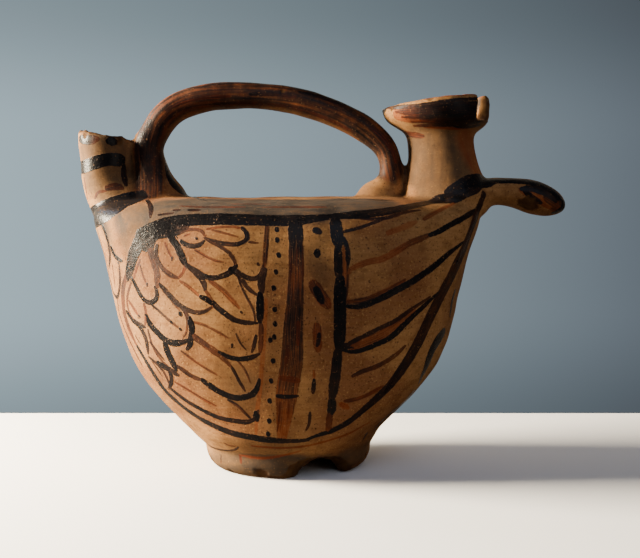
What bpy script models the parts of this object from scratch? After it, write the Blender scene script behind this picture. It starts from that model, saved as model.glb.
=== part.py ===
"""A bird-shaped askos: a hollow pouring vessel of fired clay.

One fired piece: a boat-shaped body on a chipped ring foot, the open stump of the bird's
broken neck, an arched handle over the back, a filling mouth with a broken collar, and a tail.
Metres, +Z up. The bird looks towards -X and its tail points towards +X.
"""

import math

import bmesh
import bpy
from mathutils import Matrix, Vector, noise

for old_object in list(bpy.data.objects):
    bpy.data.objects.remove(old_object)
noise.seed_set(8)

# Body
BODY_LENGTH = 0.1732
BODY_WIDTH = 0.1080
BACK_HEIGHT = 0.1210
# 0 is an oval plan at the shoulder, more is blunter towards breast and tail
BODY_BLUNTNESS = 0.50
WALL = 0.0045

# Ring foot
FOOT_OFFSET = 0.0008
FOOT_DIAMETER = 0.0746
FOOT_HEIGHT = 0.0112
FOOT_RING_WIDTH = 0.0093
FOOT_RECESS_DEPTH = 0.0064

# Filling mouth: its middle stands in from the body's tail end
MOUTH_INSET = 0.0140
MOUTH_LEAN_DEG = 7.5
NECK_DIAMETER = 0.0302
NECK_RISE = 0.0270
COLLAR_DIAMETER = 0.0484
COLLAR_HEIGHT = 0.0156
COLLAR_TILT_DEG = 7.0
MOUTH_WALL = 0.0045
COLLAR_BREAK_DEG = 44.5

# Stump of the bird's neck: its middle stands in from the body's breast end
STUMP_INSET = 0.0055
STUMP_DIAMETER = 0.0232
STUMP_RISE = 0.0272
STUMP_LEAN_DEG = 5.0
STUMP_WALL = 0.0038

# Handle: how far the middles of its legs stand from those of the stump and the mouth
HANDLE_FROM_STUMP = 0.0191
HANDLE_FROM_MOUTH = 0.0260
HANDLE_RISE = 0.0455
HANDLE_THICKNESS = 0.0120
HANDLE_BREADTH = 0.0150

# Tail
TAIL_REACH = 0.0384
TAIL_THICKNESS = 0.0122
TAIL_BREADTH = 0.0190

# Ragged face of the broken foot: the size of its grains and how far they stand out
GRAIN_SIZE = 0.0070
GRAIN_DEPTH = 0.0009

# Places that follow from the sizes
MOUTH_X = BODY_LENGTH / 2 - MOUTH_INSET
STUMP_X = STUMP_INSET - BODY_LENGTH / 2
HANDLE_FRONT_X = STUMP_X + HANDLE_FROM_STUMP
HANDLE_BACK_X = MOUTH_X - HANDLE_FROM_MOUTH
FOOT_RADIUS = FOOT_DIAMETER / 2
RECESS_RADIUS = FOOT_RADIUS - FOOT_RING_WIDTH

# How finely round forms are cut into flat faces
BODY_SIDES = 52
CAVITY_SIDES = 32
FOOT_SIDES = 44
MOUTH_SIDES = 36
STUMP_SIDES = 22
BAR_SIDES = 14

CLAY = {"name": "fired_clay", "colour": (0.56, 0.31, 0.15, 1.0), "roughness": 0.6}


def spline(stations, steps):
    """Points on a smooth curve through the stations, each a tuple of numbers."""
    knots = [Vector(station) for station in stations]
    ends = [knots[0] * 2 - knots[1]] + knots + [knots[-1] * 2 - knots[-2]]
    points = []
    for before, start, end, after in zip(ends, ends[1:], ends[2:], ends[3:]):
        for step in range(steps):
            t = step / steps
            points.append(
                0.5
                * (
                    2 * start
                    + (end - before) * t
                    + (2 * before - 5 * start + 4 * end - after) * t**2
                    + (3 * start - before - 3 * end + after) * t**3
                )
            )
    return points + [knots[-1]]


def oval(sides, half_a, half_b, squareness=2.0):
    """A round (2) to squarish (over 2) outline in two dimensions."""
    outline = []
    for side in range(sides):
        angle = math.tau * side / sides
        cosine, sine = math.cos(angle), math.sin(angle)
        size = (abs(cosine) ** squareness + abs(sine) ** squareness) ** (-1 / squareness)
        outline.append((half_a * size * cosine, half_b * size * sine))
    return outline


def loft(name, rings, closed=False):
    """A solid skinned over rings of points, capped at both ends or closed on itself."""
    mesh = bmesh.new()
    loops = [[mesh.verts.new(point) for point in ring] for ring in rings]
    pairs = list(zip(loops, loops[1:]))
    if closed:
        pairs.append((loops[-1], loops[0]))
    else:
        mesh.faces.new(loops[0])
        mesh.faces.new(loops[-1])
    for low, high in pairs:
        for side in range(len(low)):
            after = (side + 1) % len(low)
            mesh.faces.new((low[side], low[after], high[after], high[side]))
    bmesh.ops.triangulate(mesh, faces=mesh.faces)
    bmesh.ops.recalc_face_normals(mesh, faces=mesh.faces)
    data = bpy.data.meshes.new(name)
    mesh.to_mesh(data)
    mesh.free()
    solid = bpy.data.objects.new(name, data)
    bpy.context.scene.collection.objects.link(solid)
    return solid


def turned(name, profile, axis_x, sides, closed=False):
    """A turned solid on an upright axis, from (radius, height) points."""
    rings = [
        [(axis_x + x, y, height) for x, y in oval(sides, radius, radius)]
        for radius, height in profile
    ]
    return loft(name, rings, closed)


def swept_rings(path, sizes, sides, squareness=2.0):
    """Oval rings square to a path in the XZ plane; sizes are (half thickness, half breadth)."""
    rings = []
    for index, point in enumerate(path):
        along = path[min(index + 1, len(path) - 1)] - path[max(index - 1, 0)]
        along = Vector((along.x, 0, along.y)).normalized()
        across = Vector((along.z, 0, -along.x))
        centre = Vector((point.x, 0, point.y))
        outline = oval(sides, *sizes[index], squareness)
        rings.append([centre + across * a + Vector((0, b, 0)) for a, b in outline])
    return rings


def combine(target, other, operation):
    """Joins other to target, or cuts it away, and removes it."""
    boolean = target.modifiers.new(operation, "BOOLEAN")
    boolean.operation = operation
    boolean.object = other
    graph = bpy.context.evaluated_depsgraph_get()
    mesh = bpy.data.meshes.new_from_object(target.evaluated_get(graph))
    target.modifiers.clear()
    target.data = mesh
    bpy.data.objects.remove(other)


# Shares of the back's height above the foot, of half the length and of half the width, and how
# far the middle lies towards the tail in shares of half the length. The walls lean out as they
# rise, turn in at a soft shoulder and close in a low dome.
BODY_STATIONS = [
    (0.065, 0.508, 0.835, -0.010),
    (0.140, 0.600, 0.872, -0.008),
    (0.225, 0.702, 0.912, -0.002),
    (0.335, 0.797, 0.948, 0.002),
    (0.455, 0.850, 0.978, 0.002),
    (0.570, 0.882, 0.996, 0.000),
    (0.685, 0.917, 1.000, 0.002),
    (0.790, 0.952, 0.977, 0.004),
    (0.870, 0.984, 0.928, 0.006),
    (0.922, 0.998, 0.858, 0.006),
    (0.957, 0.980, 0.735, 0.004),
    (0.981, 0.915, 0.545, 0.000),
    (0.995, 0.800, 0.290, 0.000),
]


def body_rings(sides, steps):
    """Level rings of the body's outer skin, from its floor to the line of its back."""
    floor = RECESS_RADIUS * 1.02
    climb = BACK_HEIGHT - FOOT_HEIGHT
    half = BODY_LENGTH / 2
    stations = [
        (FOOT_RECESS_DEPTH, floor, floor, FOOT_OFFSET),
        (FOOT_HEIGHT * 0.94, FOOT_RADIUS, FOOT_RADIUS, FOOT_OFFSET),
    ]
    for height, length, width, shift in BODY_STATIONS:
        level = FOOT_HEIGHT + climb * height
        stations.append((level, half * length, BODY_WIDTH / 2 * width, half * shift))
    stations.append((BACK_HEIGHT, half * 0.62, BODY_WIDTH / 2 * 0.06, 0))
    smooth = spline([(*station[:3],) for station in stations], steps)
    middles = spline([(station[0], station[3]) for station in stations], steps)
    rings = []
    for (level, half_length, half_width), middle in zip(smooth, middles):
        squareness = 2 + BODY_BLUNTNESS * level / BACK_HEIGHT
        outline = oval(sides, half_length, half_width, squareness)
        rings.append([(middle.y + x, y, level) for x, y in outline])
    return rings


def make_body():
    return loft("askos", body_rings(BODY_SIDES, 2))


def make_cavity():
    """The hollow inside the body: its outer skin, moved in by the wall."""
    cavity = loft("cavity", body_rings(CAVITY_SIDES, 1))
    mesh = bmesh.new()
    mesh.from_mesh(cavity.data)
    mesh.normal_update()
    for vertex, normal in [(vertex, vertex.normal.copy()) for vertex in mesh.verts]:
        vertex.co -= normal * WALL
    mesh.to_mesh(cavity.data)
    mesh.free()
    return cavity


def make_foot():
    """A ring foot with a rounded outer side and a flat underside to stand on."""
    # Shares of the ring's width in from its outer side, and heights
    shape = [
        (0.970, 0),
        (0.620, 0),
        (0.400, FOOT_HEIGHT * 0.10),
        (0.190, FOOT_HEIGHT * 0.30),
        (0.050, FOOT_HEIGHT * 0.56),
        (0.000, FOOT_HEIGHT * 0.80),
        (0.100, FOOT_HEIGHT * 1.00),
        (0.560, FOOT_HEIGHT * 1.12),
        (1.090, FOOT_HEIGHT * 0.90),
        (1.105, FOOT_RECESS_DEPTH * 0.90),
    ]
    profile = [(FOOT_RADIUS - FOOT_RING_WIDTH * share, height) for share, height in shape]
    return turned("foot", profile, FOOT_OFFSET, FOOT_SIDES, closed=True)


def mouth_heights():
    """Heights of the neck's waist, the collar's carination and its lip."""
    waist = BACK_HEIGHT + NECK_RISE * 0.88
    carination = BACK_HEIGHT + NECK_RISE + COLLAR_HEIGHT * 0.42
    lip = BACK_HEIGHT + NECK_RISE + COLLAR_HEIGHT
    return waist, carination, lip


def mouth_rings(profile, tilt_from):
    """Rings of the leaning mouth; above tilt_from they tilt, more and more up to the lip."""
    lean = math.tan(math.radians(MOUTH_LEAN_DEG))
    tilt = math.tan(math.radians(COLLAR_TILT_DEG))
    _, _, lip = mouth_heights()
    rings = []
    for radius, height in profile:
        middle = MOUTH_X - lean * max(0.0, height - BACK_HEIGHT)
        share = max(0.0, (height - tilt_from) / (lip - tilt_from))
        rings.append(
            [
                (middle + x, y, height + share * tilt * x)
                for x, y in oval(MOUTH_SIDES, radius, radius)
            ]
        )
    return rings


def make_mouth():
    """The flared neck and collar, still solid, with the lip on a slant."""
    waist, carination, lip = mouth_heights()
    neck = NECK_DIAMETER / 2
    collar = COLLAR_DIAMETER / 2
    rise = waist - BACK_HEIGHT
    profile = [
        (neck * 0.75, BACK_HEIGHT - rise * 0.40),
        (neck * 1.15, BACK_HEIGHT - rise * 0.22),
        (neck * 1.38, BACK_HEIGHT - rise * 0.02),
        (neck * 1.28, BACK_HEIGHT + rise * 0.16),
        (neck * 1.14, BACK_HEIGHT + rise * 0.42),
        (neck * 1.04, BACK_HEIGHT + rise * 0.70),
        (neck, waist),
        (neck * 1.03, waist + (carination - waist) * 0.43),
        (neck * 1.21, waist + (carination - waist) * 0.66),
        (collar * 0.875, waist + (carination - waist) * 0.86),
        (collar * 0.942, carination),
        (collar * 0.985, carination + (lip - carination) * 0.45),
        (collar, carination + (lip - carination) * 0.80),
        (collar * 0.990, carination + (lip - carination) * 0.95),
        (collar * 0.955, lip),
    ]
    return loft("mouth", mouth_rings(profile, carination))


def make_bore():
    """The cup inside the collar and the hole down the neck into the body."""
    waist, carination, lip = mouth_heights()
    cup = COLLAR_DIAMETER / 2 - MOUTH_WALL
    hole = NECK_DIAMETER / 2 - MOUTH_WALL
    profile = [
        (hole * 0.86, BACK_HEIGHT - WALL * 2.2),
        (hole * 0.94, BACK_HEIGHT - WALL * 0.9),
        (hole, BACK_HEIGHT + NECK_RISE * 0.4),
        (hole, waist),
        (hole * 1.22, carination - WALL * 0.60),
        (cup * 0.84, carination - WALL * 0.05),
        (cup * 0.95, carination + WALL * 0.7),
        (cup * 0.99, lip - WALL * 0.2),
        (cup * 1.06, lip + WALL * 0.25),
        (cup * 1.10, lip + WALL * 2),
    ]
    return loft("bore", mouth_rings(profile, carination))


def stump_path(rise):
    """The neck stump's middle line: it leans out of the breast, then stands nearly upright."""
    lean = math.tan(math.radians(STUMP_LEAN_DEG))
    return spline(
        [
            (STUMP_X + STUMP_DIAMETER * 0.99, BACK_HEIGHT - STUMP_DIAMETER * 1.03),
            (STUMP_X + STUMP_DIAMETER * 0.52, BACK_HEIGHT - STUMP_DIAMETER * 0.43),
            (STUMP_X + rise * 0.8 * lean, BACK_HEIGHT + rise * 0.2),
            (STUMP_X + rise * 0.3 * lean, BACK_HEIGHT + rise * 0.6),
            (STUMP_X, BACK_HEIGHT + rise),
        ],
        3,
    )


def make_stump():
    """The bird's neck up to its break, with a ragged, slanting top."""
    path = stump_path(STUMP_RISE)
    radius = STUMP_DIAMETER / 2
    swell = [s.x for s in spline([(1.75, 0), (1.42, 0), (1.04, 0), (1.0, 0), (1.07, 0)], 3)]
    rings = swept_rings(path, [(radius * s, radius * s) for s in swell], STUMP_SIDES)
    slant, ripple = radius * 0.26, radius * 0.05
    broken = []
    for side, point in enumerate(rings[-1]):
        angle = math.tau * side / STUMP_SIDES
        drop = slant * math.cos(angle) + ripple * math.sin(3 * angle + 0.6)
        broken.append(point - Vector((0, 0, drop + ripple * math.cos(7 * angle))))
    rings[-1] = broken
    return loft("stump", rings)


def make_stump_bore():
    """The hollow of the bird's neck, from the cavity out past the break."""
    path = stump_path(STUMP_RISE)
    above = path[-1] + (path[-1] - path[-2]) * 3
    path = path[1:] + [above]
    radius = STUMP_DIAMETER / 2 - STUMP_WALL
    swell = [s.x for s in spline([(1.5, 0), (1.25, 0), (1.0, 0), (1.0, 0), (1.08, 0)], 3)]
    sizes = [(radius * s, radius * s) for s in swell[1:] + [1.1]]
    return loft("stump_bore", swept_rings(path, sizes, STUMP_SIDES))


def make_handle():
    """An arch over the back, steep at the breast end and sloping to the mouth."""
    middle = (HANDLE_FRONT_X + HANDLE_BACK_X) / 2
    half = (HANDLE_BACK_X - HANDLE_FRONT_X) / 2
    # Shares of half the span from the middle, of the rise above the back, of thickness and breadth
    shape = [
        (-0.960, -0.22, 2.60, 1.75),
        (-0.965, 0.00, 2.50, 1.65),
        (-0.975, 0.10, 2.00, 1.38),
        (-0.990, 0.21, 1.55, 1.16),
        (-1.005, 0.36, 1.30, 1.06),
        (-1.000, 0.50, 1.12, 1.00),
        (-0.925, 0.68, 1.04, 1.00),
        (-0.79, 0.86, 1.02, 1.00),
        (-0.54, 0.97, 1.00, 1.00),
        (-0.28, 1.00, 1.00, 1.00),
        (-0.02, 0.99, 1.00, 1.00),
        (0.28, 0.930, 1.00, 1.00),
        (0.56, 0.812, 1.00, 1.00),
        (0.80, 0.660, 0.97, 1.00),
        (0.955, 0.500, 0.90, 1.00),
        (1.010, 0.320, 0.84, 1.02),
        (1.005, 0.17, 0.94, 1.06),
        (0.97, 0.07, 1.30, 1.22),
        (0.93, -0.02, 1.80, 1.45),
        (0.91, -0.22, 2.00, 1.60),
    ]
    path = spline([(middle + half * x, BACK_HEIGHT + HANDLE_RISE * z) for x, z, _, _ in shape], 2)
    swell = spline([(thick, broad) for _, _, thick, broad in shape], 2)
    sizes = [(HANDLE_THICKNESS / 2 * s.x, HANDLE_BREADTH / 2 * s.y) for s in swell]
    return loft("handle", swept_rings(path, sizes, BAR_SIDES, squareness=2.4))


def make_tail():
    """A thick, blunt tail that grows out of the rump and droops at its tip."""
    root = BODY_LENGTH / 2 * 1.005
    height = BACK_HEIGHT + TAIL_THICKNESS * 0.27
    # Shares of the reach past the body, drops in thicknesses, and thickness and breadth shares
    shape = [
        (-0.60, 1.00, 1.48, 2.74),
        (-0.28, 0.72, 1.56, 2.20),
        (-0.08, 0.36, 1.40, 1.60),
        (0.07, 0.08, 1.08, 1.18),
        (0.24, 0.05, 0.98, 1.00),
        (0.44, 0.12, 1.10, 1.10),
        (0.62, 0.27, 1.24, 1.20),
        (0.80, 0.44, 1.10, 1.06),
        (0.92, 0.56, 0.78, 0.76),
        (1.00, 0.64, 0.30, 0.28),
    ]
    path = spline([(root + TAIL_REACH * x, height - TAIL_THICKNESS * z) for x, z, _, _ in shape], 2)
    swell = spline([(thick, broad) for _, _, thick, broad in shape], 2)
    sizes = [(TAIL_THICKNESS / 2 * s.x, TAIL_BREADTH / 2 * s.y) for s in swell]
    return loft("tail", swept_rings(path, sizes, BAR_SIDES, squareness=2.2))


def make_collar_break():
    """The piece missing from the collar's wall, on the tail side, facing -Y."""
    _, carination, lip = mouth_heights()
    middle = MOUTH_X - math.tan(math.radians(MOUTH_LEAN_DEG)) * (lip - BACK_HEIGHT)
    inner = COLLAR_DIAMETER / 2 - MOUTH_WALL * 1.7
    outer = COLLAR_DIAMETER / 2 + MOUTH_WALL
    steps = 5
    angles = [math.radians(-COLLAR_BREAK_DEG * step / steps) for step in range(steps + 1)]
    rings = []
    for height in (carination, lip + COLLAR_HEIGHT):
        arc = [(middle + outer * math.cos(a), outer * math.sin(a), height) for a in angles]
        back = [(middle + inner * math.cos(a), inner * math.sin(a), height) for a in angles]
        rings.append(arc + back[::-1])
    return loft("collar_break", rings)


def make_foot_chip():
    """The piece missing from the ring foot, towards -Y: a ragged arch that narrows inwards."""
    steps = 10
    rings = []
    # Shares of the foot's radius and height, first and last angle, and how pointed the arch is
    for reach, height, first, last, point in (
        (1.45, 1.04, -104, -33, 0.24),
        (1.00, 0.93, -100, -35, 0.28),
        (0.88, 0.84, -91, -36, 0.50),
        (0.76, 0.74, -82, -37, 0.70),
        (0.64, 0.56, -78, -40, 0.80),
    ):
        ring = []
        for step in range(steps + 1):
            share = step / steps
            angle = math.radians(first + (last - first) * share)
            rise = FOOT_HEIGHT * height * math.sin(math.pi * share) ** point
            ring.append(Vector((math.cos(angle), math.sin(angle), 0)) * FOOT_RADIUS * reach)
            ring[-1].x += FOOT_OFFSET
            ring[-1].z = rise - FOOT_HEIGHT * 0.05
        ring += [Vector((ring[-1].x, ring[-1].y, -FOOT_HEIGHT / 4))]
        ring += [Vector((ring[0].x, ring[0].y, -FOOT_HEIGHT / 4))]
        rings.append([p + noise.noise_vector(p / GRAIN_SIZE) * GRAIN_DEPTH for p in ring])
    return loft("foot_chip", rings)


def clay_material():
    material = bpy.data.materials.new(CLAY["name"])
    material.use_nodes = True
    shader = material.node_tree.nodes["Principled BSDF"]
    shader.inputs["Base Color"].default_value = CLAY["colour"]
    shader.inputs["Roughness"].default_value = CLAY["roughness"]
    return material


def stand_on_origin(solid):
    """Puts the middle of the underside of the object's box at the origin."""
    xs = [vertex.co.x for vertex in solid.data.vertices]
    ys = [vertex.co.y for vertex in solid.data.vertices]
    middle = Vector(((min(xs) + max(xs)) / 2, (min(ys) + max(ys)) / 2, 0))
    solid.data.transform(Matrix.Translation(-middle))


askos = make_body()
for made in (make_foot(), make_mouth(), make_stump(), make_handle(), make_tail()):
    combine(askos, made, "UNION")
for cut in (make_cavity(), make_bore(), make_stump_bore(), make_collar_break(), make_foot_chip()):
    combine(askos, cut, "DIFFERENCE")
askos.data.materials.clear()
askos.data.materials.append(clay_material())
askos.data.shade_smooth()
askos.data.set_sharp_from_angle(angle=math.radians(40))
stand_on_origin(askos)
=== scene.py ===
import math
import bmesh
import bpy
import numpy as np
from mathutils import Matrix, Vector, noise
from mathutils.bvhtree import BVHTree


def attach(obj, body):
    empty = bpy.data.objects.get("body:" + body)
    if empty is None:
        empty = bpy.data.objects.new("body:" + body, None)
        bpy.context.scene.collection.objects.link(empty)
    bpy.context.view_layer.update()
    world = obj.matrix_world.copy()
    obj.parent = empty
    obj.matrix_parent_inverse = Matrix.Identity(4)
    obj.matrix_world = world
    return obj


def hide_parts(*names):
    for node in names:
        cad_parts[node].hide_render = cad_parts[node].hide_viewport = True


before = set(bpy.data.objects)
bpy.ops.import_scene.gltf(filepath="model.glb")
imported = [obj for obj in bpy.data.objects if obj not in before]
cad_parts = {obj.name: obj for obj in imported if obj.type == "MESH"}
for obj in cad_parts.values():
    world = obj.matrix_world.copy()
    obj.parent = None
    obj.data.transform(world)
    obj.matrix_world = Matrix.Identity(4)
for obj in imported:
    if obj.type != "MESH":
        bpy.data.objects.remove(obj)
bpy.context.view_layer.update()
noise.seed_set(5)
mm = 0.001

# The photograph's frame, and where its camera stood: half a metre away, level with the shoulder
photo = {
    "width": 640,
    "height": 558,
    "focal": 1105.7,  # in pixels
    "eye": (-1.0 * mm, -500.0 * mm, 110.0 * mm),
    "lookDown": 2.98,  # degrees
    "sensor": 36.0,
    "nearest": 10 * mm,
}


def toLinear(hexColour):
    channels = [int(hexColour[i:i + 2], 16) / 255 for i in (1, 3, 5)]
    return [c / 12.92 if c <= 0.04045 else ((c + 0.055) / 1.055) ** 2.4 for c in channels] + [1.0]


def addNode(tree, kind, links, output=0, **settings):
    # settings are the node's own; links are its inputs: a socket, a colour's hex value or a plain value
    node = tree.nodes.new("ShaderNode" + kind)
    for name, value in settings.items():
        setattr(node, name, value)
    for socket, source in links.items():
        if isinstance(source, bpy.types.NodeSocket):
            tree.links.new(source, node.inputs[socket])
        else:
            node.inputs[socket].default_value = toLinear(source) if isinstance(source, str) else source
    return node.outputs[output] if len(node.outputs) else node


def newMaterial(name):
    material = bpy.data.materials.new(name)
    material.use_nodes = True
    material.node_tree.nodes.clear()
    return material, material.node_tree


def newObject(name, data):
    piece = bpy.data.objects.new(name, data)
    bpy.context.scene.collection.objects.link(piece)
    return piece


def makeCamera():
    data = bpy.data.cameras.new("photoCamera")
    data.sensor_width = photo["sensor"]
    data.lens = photo["sensor"] * photo["focal"] / photo["width"]
    data.clip_start = photo["nearest"]
    camera = newObject("photoCamera", data)
    camera.location = photo["eye"]
    camera.rotation_euler = (math.radians(90 - photo["lookDown"]), 0, 0)
    bpy.context.scene.camera = camera
    print("camera placed")


# The clay body: the faceted solid made even and soft, as hands and a wet cloth leave it
clayForm = {
    "weldWithin": 0.001 * mm,
    "sharpAngle": 40.0,  # degrees, above which an edge of the solid is a real one
    "cell": 1.17 * mm,  # the size of the mesh's faces
    "mostFaces": 194000,  # triangles in the whole piece
    "roundness": 0.55,  # how far flat facets are bulged towards the curved form
    "mostBulge": 0.8 * mm,
    "softening": 7,  # passes that melt the facets' edges
    "breaksKept": 0.7,  # share of that which broken faces are spared
    "lookouts": 60,  # directions in which a face looks for open air
    "grazing": 0.05,  # sights flatter to the face than this aren't counted
    "insideOpen": 0.10,  # a face that sees less of the open than this is inside
    "insideShare": 0.9,
    "offFace": 0.05 * mm,
    # passes by which each share spreads at its edges
    "spread": {"softening": 2, "fewerFaces": 3, "inside": 2, "grain": 1, "broken": 1, "dirtAndShade": 3},
    "footKeptFlat": (0.2 * mm, 3.0 * mm),  # heights between which the marks below set in
    "unevenness": [(26.0 * mm, 0.34 * mm), (9.0 * mm, 0.13 * mm)],  # size and height of the hand's marks
    "breakGrain": [(3.2 * mm, 0.30 * mm), (1.6 * mm, 0.16 * mm)],  # the same for broken faces
    "hollowsAcross": (6, 0.9),  # the evening out that a hollow is measured against: passes and share
    "hollows": (0.06 * mm, 0.6 * mm),  # how deep one is where dirt and painted shade begin and where they are thickest
}
noiseSeeds = {"unevenness": 0, "breakGrain": 5, "nicks": 11, "farSide": 20}
noiseSteps = (7.3, -3.1, 5.7)  # how far apart two seeds lie in the noise

# Broken faces: the top of the bird's neck, the missing wall of the collar, the arch out of the foot
breaks = {
    "stumpX": -97.5 * mm, "stumpRadius": 15.0 * mm, "stumpAbove": 143.0 * mm, "stumpSlope": 0.45,
    "mouthX": 51.3 * mm, "mouthFrom": 17.0 * mm, "mouthFloor": 154.6 * mm, "mouthAngles": (-44.5, 0.0),
    "mouthNear": 1.2 * mm, "mouthSpread": 4.0, "mouthFlat": 0.5, "mouthUpright": 0.55,
    "footX": -15.6 * mm, "footRadius": 37.3 * mm, "footTop": 11.6 * mm, "footAngles": (-112.0, -26.0),
    "footAbove": 0.4 * mm, "footFlare": 3.6 * mm, "footSkin": 0.9 * mm, "footFrom": 20 * mm,
}

# Small losses along edges: pixel of the photograph, radius and depth in mm
nicks = [
    ((212, 465), 2.6, 0.7), ((232, 476), 2.2, 0.6), ((262, 474), 3.4, 0.8), ((350, 468), 2.4, 0.6),
    ((366, 455), 2.0, 0.6), ((84, 136), 2.0, 0.5), ((121, 142), 2.2, 0.6), ((391, 109), 1.6, 0.3),
    ((430, 99), 1.8, 0.3), ((527, 206), 6.0, 0.9), ((561, 203), 1.8, 0.4), ((283, 91), 1.4, 0.15),
]
nickEdge = {"grain": 1.5 * mm, "ragged": 0.35, "steep": 0.55, "farthest": 2.0}


def readArray(items, field, width, kind=np.float32):
    values = np.zeros(len(items) * width, kind)
    items.foreach_get(field, values)
    return values.reshape(-1, width)


def vertexArray(mesh):
    return readArray(mesh.vertices, "co", 3).astype(float)


def normalArray(mesh):
    return readArray(mesh.vertex_normals, "vector", 3).astype(float)


def edgeArray(mesh):
    return readArray(mesh.edges, "vertices", 2, np.int32)


def setVertices(mesh, places):
    mesh.vertices.foreach_set("co", places.astype(np.float32).ravel())
    mesh.update()


def hitTree(mesh):
    return BVHTree.FromPolygons([v.co for v in mesh.vertices], [tuple(p.vertices) for p in mesh.polygons])


def smoothStep(values, low, high):
    share = np.clip((values - low) / (high - low), 0.0, 1.0)
    return share * share * (3 - 2 * share)


def unitRows(vectors):
    return vectors / np.maximum(np.linalg.norm(vectors, axis=1, keepdims=True), 1e-12)


def blurred(values, edges, passes, share=0.5):
    # each vertex's value moves part of the way to the mean of its neighbours'
    table = values.reshape(len(values), -1).copy()
    share = np.broadcast_to(np.asarray(share, float), (len(table),))[:, None]
    count = np.maximum(np.bincount(edges.ravel(), minlength=len(table)), 1)[:, None]
    for _ in range(passes):
        total = np.zeros_like(table)
        for column in range(table.shape[1]):
            for here, there in ((0, 1), (1, 0)):
                total[:, column] += np.bincount(edges[:, here], table[edges[:, there], column], len(table))
        table += share * (total / count - table)
    return table.reshape(values.shape)


def weldedForm(node):
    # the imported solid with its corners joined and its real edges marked
    mesh = bmesh.new()
    mesh.from_mesh(node.data)
    bmesh.ops.remove_doubles(mesh, verts=mesh.verts, dist=clayForm["weldWithin"])
    bmesh.ops.triangulate(mesh, faces=mesh.faces)
    form = bpy.data.meshes.new("weldedForm")
    mesh.to_mesh(form)
    mesh.free()
    form.shade_smooth()
    form.set_sharp_from_angle(angle=math.radians(clayForm["sharpAngle"]))
    return form


def throughModifier(mesh, kind, settings, chosen=None):
    piece = newObject("working", mesh)
    if chosen is not None:
        group = piece.vertex_groups.new(name="chosen")
        group.add([int(index) for index in np.nonzero(chosen)[0]], 1.0, "REPLACE")
    modifier = piece.modifiers.new("step", kind)
    for name, value in settings.items():
        setattr(modifier, name, value)
    graph = bpy.context.evaluated_depsgraph_get()
    result = bpy.data.meshes.new_from_object(piece.evaluated_get(graph))
    bpy.data.objects.remove(piece)
    return result


def faceOpenness(tree, centres, normals):
    # the share of the directions over each face that meet no clay
    count = clayForm["lookouts"]
    golden = math.pi * (3 - math.sqrt(5))
    directions = []
    for index in range(count):
        z = 1 - 2 * (index + 0.5) / count
        r = math.sqrt(1 - z * z)
        directions.append(Vector((r * math.cos(golden * index), r * math.sin(golden * index), z)))
    share = np.zeros(len(centres))
    for face, (centre, normal) in enumerate(zip(centres, normals)):
        outward = Vector(normal)
        start = Vector(centre) + outward * clayForm["offFace"]
        seen = [d for d in directions if d.dot(outward) > clayForm["grazing"]]
        share[face] = sum(tree.ray_cast(start, d)[0] is None for d in seen) / len(seen)
    return share


def readSolid(form):
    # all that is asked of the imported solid: its triangles, corner normals and openness
    places, tree = vertexArray(form), hitTree(form)
    corners = readArray(form.polygons, "vertices", 3, np.int32)
    a, b, c = (places[corners[:, k]] for k in range(3))
    return {
        "places": places, "corners": corners, "tree": tree,
        "cornerNormals": readArray(form.corner_normals, "vector", 3).reshape(-1, 3, 3).astype(float),
        "open": faceOpenness(tree, (a + b + c) / 3, unitRows(np.cross(b - a, c - a))),
    }


def nearestFaces(solid, places):
    hits = [solid["tree"].find_nearest(Vector(p)) for p in places]
    return np.array([hit[2] for hit in hits]), np.array([tuple(hit[0]) for hit in hits])


def bulged(solid, places):
    # each point is moved from its flat facet towards the curved surface its corner normals describe
    faces, feet = nearestFaces(solid, places)
    a, b, c = (solid["places"][solid["corners"][faces, k]] for k in range(3))
    across, up, offset = b - a, c - a, feet - a
    d00, d01, d11 = (across * across).sum(1), (across * up).sum(1), (up * up).sum(1)
    d20, d21 = (offset * across).sum(1), (offset * up).sum(1)
    area = np.maximum(d00 * d11 - d01 * d01, 1e-18)
    v = (d11 * d20 - d01 * d21) / area
    w = (d00 * d21 - d01 * d20) / area
    weights = np.clip(np.stack([1 - v - w, v, w], axis=1), 0, 1)
    weights /= weights.sum(1, keepdims=True)
    curved = np.zeros_like(feet)
    for k, corner in enumerate((a, b, c)):
        normal = solid["cornerNormals"][faces, k]
        height = ((feet - corner) * normal).sum(1, keepdims=True)
        curved += weights[:, k:k + 1] * (feet - height * normal)
    move = clayForm["roundness"] * (curved - feet)
    size = np.linalg.norm(move, axis=1, keepdims=True)
    return places + move * np.minimum(1, clayForm["mostBulge"] / np.maximum(size, 1e-9)), faces


def aroundAxis(places, part):
    # distance and angle in degrees about a part's upright axis, and its two angles
    x, y = places[:, 0] - breaks[part + "X"], places[:, 1]
    return np.hypot(x, y), np.degrees(np.arctan2(y, x)), breaks[part + "Angles"]


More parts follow.
